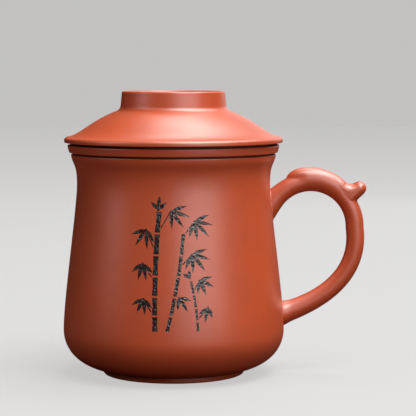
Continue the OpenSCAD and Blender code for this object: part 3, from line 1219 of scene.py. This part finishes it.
class Mug(Assembly):
    """The mug: wall and floor, foot ring, handle, and the inked carving."""

    body = Body.MUG

    def measure(self) -> None:
        """Takes the overall sizes from the solids."""
        self.wall = WallShape(rim_z=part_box("mug_body")[1][2] / MM)
        self.foot = FootShape(height=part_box("foot_ring")[1][2] / MM)
        self.handle, self.carving = HandleShape(), CarvingShape()

    def build(self) -> None:
        """Builds and dresses the mug's pieces."""
        self.settle(self._wall(), Slot.CLAY, "mug_body")
        self.settle(turned("standing_ring", self.foot.outline()), Slot.CLAY, "foot_ring")
        self.settle(self._handle(), Slot.CLAY, "handle_loop", "handle_crest")
        self.settle(mesh_piece("slip_thread", *self.handle.slip(self.wall)), Slot.SLIP)
        for node in self.carving.nodes:
            self.dress(node, Slot.INK)

    def _wall(self) -> bpy.types.Object:
        """The turned wall, with the carving cut into it by its inlays' own outlines.

        Returns:
            The piece.
        """
        shape = self.wall
        top, edge_round = shape.rim_z - shape.rim_round, shape.rim_round - shape.ledge_drop
        inner_lip = [shape.rim_r - shape.thick + shape.rim_round, top]
        outline = chain(
            [[0.0, shape.base_z]], shape.curve(0.0, shape.base_z),
            arc([shape.rim_r - edge_round, top], edge_round, 0, 90),
            [[shape.ledge_r, shape.rim_z - shape.ledge_drop], [shape.ledge_r, shape.rim_z]],
            arc(inner_lip, shape.rim_round, 90, 180),
            shape.curve(shape.thick, shape.floor_z)[::-1], [[0.0, shape.floor_z]],
        )
        wall = turned("mug_wall", outline)
        cutter = self._cutter()
        cut = wall.modifiers.new("carving", "BOOLEAN")
        cut.operation, cut.solver, cut.object = "DIFFERENCE", "EXACT", cutter
        bake(wall)
        bpy.data.objects.remove(cutter)
        self._true_normals(wall.data)
        return wall

    def _cutter(self) -> bpy.types.Object:
        """A copy of the inlays whose outer faces are drawn forward, out of the wall.

        Returns:
            The copy, which is used up by the cut.
        """
        meshes = [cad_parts[node].data for node in self.carving.nodes]
        points, faces = (np.vstack(parts) for parts in (
            [positions(mesh) for mesh in meshes],
            [read(mesh.loops, "vertex_index").reshape(-1, 3) for mesh in meshes],
        ))
        faces[-len(meshes[1].polygons):] += len(meshes[0].vertices)
        rounded = np.round(points, self.carving.weld_digits)
        _, first, same = np.unique(rounded, axis=0, return_index=True, return_inverse=True)
        points, faces = points[first], same.reshape(-1)[faces]
        faces = faces[(faces != np.roll(faces, 1, axis=1)).all(axis=1)]
        near = -self.wall.clearance(points) < self.carving.face_depth
        points[:, 1] -= np.where(near, self.carving.drawn, 0.0)
        return mesh_piece("carving_cutter", points, [faces])

    def _true_normals(self, mesh: bpy.types.Mesh) -> None:
        """Shades the outside by the wall's own curve, so that the carving leaves no ripples.

        Args:
            mesh: The carved wall's mesh.
        """
        sizes = read(mesh.polygons, "loop_total").ravel()
        facing = np.repeat(read(mesh.polygons, "normal", np.float32, 3), sizes, axis=0)
        places = positions(mesh)[read(mesh.loops, "vertex_index").ravel()]
        true, height = self.wall.outward(places), places[:, 2]
        outside = (
            (np.abs(self.wall.clearance(places)) < self.carving.skin)
            & (height > self.wall.base_z + self.carving.above_foot)
            & (height < self.wall.rim_z - self.carving.below_rim)
            & (np.sum(true * facing, axis=1) > self.carving.least_cosine)
        )
        mesh.normals_split_custom_set(np.where(outside[:, None], true, 0.0).astype(np.float32))

    def _handle(self) -> bpy.types.Object:
        """The loop, crest, curl and the clay under the curl, fused into one softened skin.

        Returns:
            The piece.
        """
        points, faces = self.handle.loop(self.wall)
        for more_points, more_faces in (self.handle.curl(), *self.handle.fills()):
            faces = faces + [f + len(points) for f in more_faces]
            points = np.vstack([points, more_points])
        piece = mesh_piece("handle", points, faces)
        remesh = piece.modifiers.new("fuse", "REMESH")
        remesh.mode, remesh.voxel_size = "VOXEL", self.handle.voxel * MM
        smooth = piece.modifiers.new("soften", "SMOOTH")
        smooth.factor, smooth.iterations = self.handle.smooth_factor, self.handle.smoothing
        bake(piece)
        mesh = piece.data
        mesh.polygons.foreach_set("use_smooth", np.ones(len(mesh.polygons), bool))
        places = positions(mesh)
        away = off_axis(places)
        kept = np.maximum(away, self.wall.radius(places[:, 2]) - self.handle.bury)
        places[:, :2] *= (kept / np.maximum(away, TINY))[:, None]
        mesh.vertices.foreach_set("co", (places * MM).astype(np.float32).ravel())
        mesh.update()
        return piece


@dataclass
class InfuserShape:
    """The infuser: a collar that seats on the mug's rim, and a cup that hangs in the mug."""

    seat_z: float
    rim_z: float
    low_z: float
    collar_low_r: float = 44.9
    collar_top_r: float = 45.5
    collar_round: float = 0.5
    low_land_r: float = 41.6
    top_land_r: float = 41.8
    seam: float = 0.45
    bore_r: float = 36.2
    low_r: float = 35.1
    neck_r: float = 37.6
    neck_z: float = 82.3
    mouth_r: float = 40.1
    wall: float = 2.4
    lip_gap: float = 0.6
    wall_points: int = 13

    def collar(self) -> np.ndarray:
        """The collar's section. Its outer edge stands clear of the mug and of the lid by a seam.

        Returns:
            Points (radius, height) in millimetres, of shape (n, 2).
        """
        r, low, top = self.collar_round, self.rim_z + self.seam, self.seat_z - self.seam
        return chain(
            [[self.bore_r, self.rim_z], [self.low_land_r, self.rim_z], [self.low_land_r, low]],
            arc([self.collar_low_r - r, low + r], r, -90, 0),
            arc([self.collar_top_r - r, top - r], r, 0, 90),
            [[self.top_land_r, top], [self.top_land_r, self.seat_z], [self.bore_r, self.seat_z]],
        )

    def cup(self) -> np.ndarray:
        """The cup's section, without its floor.

        Returns:
            Points (radius, height) in millimetres, of shape (n, 2).
        """
        lip = (self.mouth_r, self.rim_z - self.lip_gap)
        flare = mouth((self.neck_r, self.neck_z), lip, steps=14)
        t = np.linspace(0.0, 1.0, self.wall_points)[:, None]
        low, high = np.array([self.low_r, self.low_z]), np.array([self.neck_r, self.neck_z])
        inner_low, inner_high = low - [self.wall, 0.0], high - [self.wall, 0.0]
        return chain(
            low + t * (high - low), flare, [[self.mouth_r, self.rim_z], [self.bore_r, self.rim_z]],
            inner_high + t * (inner_low - inner_high),
        )


class Infuser(Assembly):
    """The lift-out infuser, with the perforated floor that stays a solid."""

    body = Body.INFUSER

    def measure(self) -> None:
        """Takes the heights from the solids."""
        low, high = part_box("infuser_collar")
        self.shape = InfuserShape(
            seat_z=high[2] / MM, rim_z=low[2] / MM, low_z=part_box("strainer_floor")[1][2] / MM
        )

    def build(self) -> None:
        """Builds and dresses the infuser's pieces."""
        self.settle(turned("collar", self.shape.collar()), Slot.CLAY, "infuser_collar")
        self.settle(turned("infuser_wall", self.shape.cup()), Slot.INNER_CLAY, "infuser_cup")
        self.dress("strainer_floor", Slot.INNER_CLAY)


@dataclass
class LidShape:
    """The lid: a flared roof with a round rim, a grip ring on top and a locating ring below."""

    outer_r: float
    seat_z: float
    grip_z: float
    top_z: float
    locate_z: float
    rim_thick: float = 2.9
    rim_round: float = 1.3
    rim_turn: float = 68.0
    ledge_r: float = 42.0
    ledge_rise: float = 0.6
    ledge_round: float = 0.3
    ceiling_inset: float = 4.9
    grip_r: float = 22.75
    grip_wall: float = 3.4
    grip_lean: float = 0.6
    grip_round: float = 0.7
    fillet: float = 2.6
    fillet_rise: float = 0.9
    fillet_slope: float = 21.6
    crown: float = 3.8
    hollow_r: float = 33.1
    hollow_from: float = 2.0
    hollow_hold: float = 6.8
    ceiling_hold: float = 11.0
    eaves_hold: Pair = (-6.6, 1.2)
    cone_hold: Pair = (12.6, -5.0)
    foot_inset: float = 1.0
    locate_r: float = 35.7
    bevel: float = 0.6

    def roof(self) -> np.ndarray:
        """The roof's section: rim, flared cone, fillet to the grip ring, and the hollow below.

        Returns:
            Points (radius, height) in millimetres, of shape (n, 2).
        """
        r, lip, seat = self.rim_round, self.ledge_round, self.seat_z
        ledge, middle = seat + self.ledge_rise, (self.outer_r - r, seat + self.rim_thick - r)
        low = middle + r * direction(self.rim_turn)
        foot_z = self.grip_z + self.fillet_rise
        foot_r = self.grip_r - self.grip_lean * self.fillet_rise / (self.top_z - self.grip_z)
        under_r = foot_r - self.foot_inset
        slope = 270.0 - self.fillet_slope
        bend = arc((foot_r + self.fillet, foot_z), self.fillet, slope, 180.0, steps=12)
        high = bend[0]
        ceiling, reach = self.grip_z - self.crown, self.grip_r - self.ceiling_inset
        hollow = bezier(
            [self.hollow_r, seat + self.hollow_from], [self.hollow_r, seat + self.hollow_hold],
            [reach + self.ceiling_hold, ceiling], [reach, ceiling], steps=20,
        )
        return chain(
            [[0.0, ceiling]], hollow[::-1],
            [[self.hollow_r, seat], [self.ledge_r, seat], [self.ledge_r, ledge]],
            arc([self.outer_r - lip, ledge + lip], lip, -90, 0), arc(middle, r, 0, self.rim_turn),
            bezier(low, low + self.eaves_hold, high + self.cone_hold, high, steps=40),
            bend, [[under_r, foot_z], [under_r, self.grip_z], [0.0, self.grip_z]],
        )

    def ring(self) -> np.ndarray:
        """The grip ring's section, which leans in a little towards its rounded top.

        Returns:
            Points (radius, height) in millimetres, of shape (n, 2).
        """
        r, inner = self.grip_round, self.grip_r - self.grip_wall
        return chain(
            [[inner, self.grip_z], [self.grip_r, self.grip_z]],
            arc([self.grip_r - self.grip_lean - r, self.top_z - r], r, 0, 90),
            arc([inner + r, self.top_z - r], r, 90, 180),
        )

    def locating(self) -> np.ndarray:
        """The section of the ring that centres the lid in the collar.

        Returns:
            Points (radius, height) in millimetres, of shape (n, 2).
        """
        bevel, low = self.bevel, self.locate_z + self.bevel
        return chain(
            [[self.hollow_r, self.seat_z]],
            arc((self.hollow_r + bevel, low), bevel, 180, 270, steps=5),
            arc((self.locate_r - bevel, low), bevel, 270, 360, steps=5),
            [[self.locate_r, self.seat_z]],
        )


class Lid(Assembly):
    """The lift-off lid."""

    body = Body.LID

    def measure(self) -> None:
        """Takes the overall sizes from the solids."""
        low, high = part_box("lid_cone")
        self.shape = LidShape(
            outer_r=high[0] / MM, seat_z=low[2] / MM, grip_z=high[2] / MM,
            top_z=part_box("lid_grip_ring")[1][2] / MM,
            locate_z=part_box("lid_locating_ring")[0][2] / MM,
        )

    def build(self) -> None:
        """Builds and dresses the lid's pieces."""
        self.settle(turned("lid_roof", self.shape.roof()), Slot.CLAY, "lid_cone")
        self.settle(turned("lid_ring", self.shape.ring()), Slot.CLAY, "lid_grip_ring")
        register = turned("lid_register", self.shape.locating())
        self.settle(register, Slot.INNER_CLAY, "lid_locating_ring")


# ---- Studio ----


@dataclass(frozen=True)
class Softbox:
    """A soft lamp that faces the mug.

    Azimuth 0 is on the camera's side and 90 on the handle's side, in degrees.
    """

    name: str
    azimuth: float
    elevation: float
    distance: float
    width: float
    height: float
    watts: float
    target: Triple = (0.0, 0.0, 0.06)

    def hang(self) -> None:
        """Makes the lamp and turns it to its target."""
        lamp = bpy.data.lights.new(self.name, "AREA")
        lamp.shape, lamp.size, lamp.size_y = "RECTANGLE", self.width, self.height
        lamp.energy = self.watts
        holder = bpy.data.objects.new(self.name, lamp)
        side, up = math.radians(self.azimuth), math.radians(self.elevation)
        back = Vector((math.sin(side) * math.cos(up), -math.cos(side) * math.cos(up), math.sin(up)))
        holder.location = Vector(self.target) + back * self.distance
        holder.rotation_euler = back.to_track_quat("Z", "Y").to_euler()
        bpy.context.scene.collection.objects.link(holder)


@dataclass
class Studio:
    """The floor, the pale surround, the lamps and the camera."""

    lamps: tuple[Softbox, ...] = (
        Softbox("key_softbox", 30.0, 17.0, 0.95, 0.80, 0.60, 3.1),
        Softbox("high_softbox", 29.0, 61.0, 1.7, 1.11, 0.93, 27.8),
        Softbox("left_softbox", -70.0, 30.0, 0.95, 0.34, 0.70, 1.6),
        Softbox("side_softbox", 92.0, 61.0, 1.7, 1.20, 1.20, 20.6),
        Softbox("back_softbox", 172.0, 67.0, 1.7, 0.68, 0.68, 7.2),
        Softbox("rear_side_softbox", 128.0, 58.0, 1.7, 1.32, 1.12, 5.6),
        Softbox("rear_fill_softbox", 152.0, 16.0, 1.0, 0.76, 0.44, 1.2),
    )
    camera_place: Triple = (0.0, -0.770807, 0.133412)
    camera_pitch: float = 0.08036965
    camera_yaw: float = 0.019227
    lens: float = 155.19
    sensor: float = 36.0
    clip: Pair = (0.05, 20.0)
    floor_size: float = 6.0
    surround: Colour = PALE
    dim: Colour = (0.01, 0.01, 0.01)

    def build(self) -> None:
        """Sets everything up."""
        self._floor()
        self._world()
        for lamp in self.lamps:
            lamp.hang()
        self._camera()
        bpy.context.scene.view_settings.view_transform = "Standard"
        LOG.info("studio: %d lamps", len(self.lamps))

    def _floor(self) -> None:
        """A flat square floor at height 0."""
        corners = np.array([[-1.0, -1.0, 0.0], [1.0, -1.0, 0.0], [1.0, 1.0, 0.0], [-1.0, 1.0, 0.0]])
        points = corners * self.floor_size / MM / 2
        floor = mesh_piece("floor", points, [np.array([[0, 1, 2, 3]])])
        floor.data.materials.append(PaleSurround().material())

    def _world(self) -> None:
        """A world that is pale to the camera and dim to everything else."""
        world = bpy.data.worlds.new("surround")
        bpy.context.scene.world = world
        tree = ShaderTree(world)
        seen = tree.add("ShaderNodeLightPath", output="Is Camera Ray")
        colour = tree.blend(seen, self.dim, self.surround)
        light = tree.add("ShaderNodeBackground", {}, {"Color": colour, "Strength": 1.0})
        tree.surface(light, "ShaderNodeOutputWorld")

    def _camera(self) -> None:
        """A long lens a little above the rim, looking slightly down."""
        camera = bpy.data.objects.new("camera", bpy.data.cameras.new("camera"))
        camera.location = self.camera_place
        camera.rotation_euler = (math.pi / 2 - self.camera_pitch, 0.0, -self.camera_yaw)
        camera.data.lens = self.lens
        camera.data.sensor_width = self.sensor
        camera.data.clip_start, camera.data.clip_end = self.clip
        bpy.context.scene.collection.objects.link(camera)
        bpy.context.scene.camera = camera


def write_sizes() -> None:
    """Brings the view layer up to date."""
    bpy.context.view_layer.update()


def main() -> None:
    """Builds the mug, the infuser, the lid and the studio, in that order."""
    logging.basicConfig(level=logging.INFO, format="%(name)s: %(message)s")
    # The slip thread's finish is paler than the clay: partly pale dried slip, partly a painted
    # highlight along the thread.
    slip = FiredClay("slip_with_painted_highlight", body=(0.62, 0.16, 0.07), smoked=(0.50, 0.10, 0.04))
    kinds = {
        Slot.CLAY: FiredClay(), Slot.INNER_CLAY: BareClay(), Slot.INK: CarvedInk(), Slot.SLIP: slip
    }
    finishes = {slot: finish.material() for slot, finish in kinds.items()}
    for kind in (Mug, Infuser, Lid):
        kind(finishes).build()
    Studio().build()
    write_sizes()


if __name__ == "__main__":
    main()
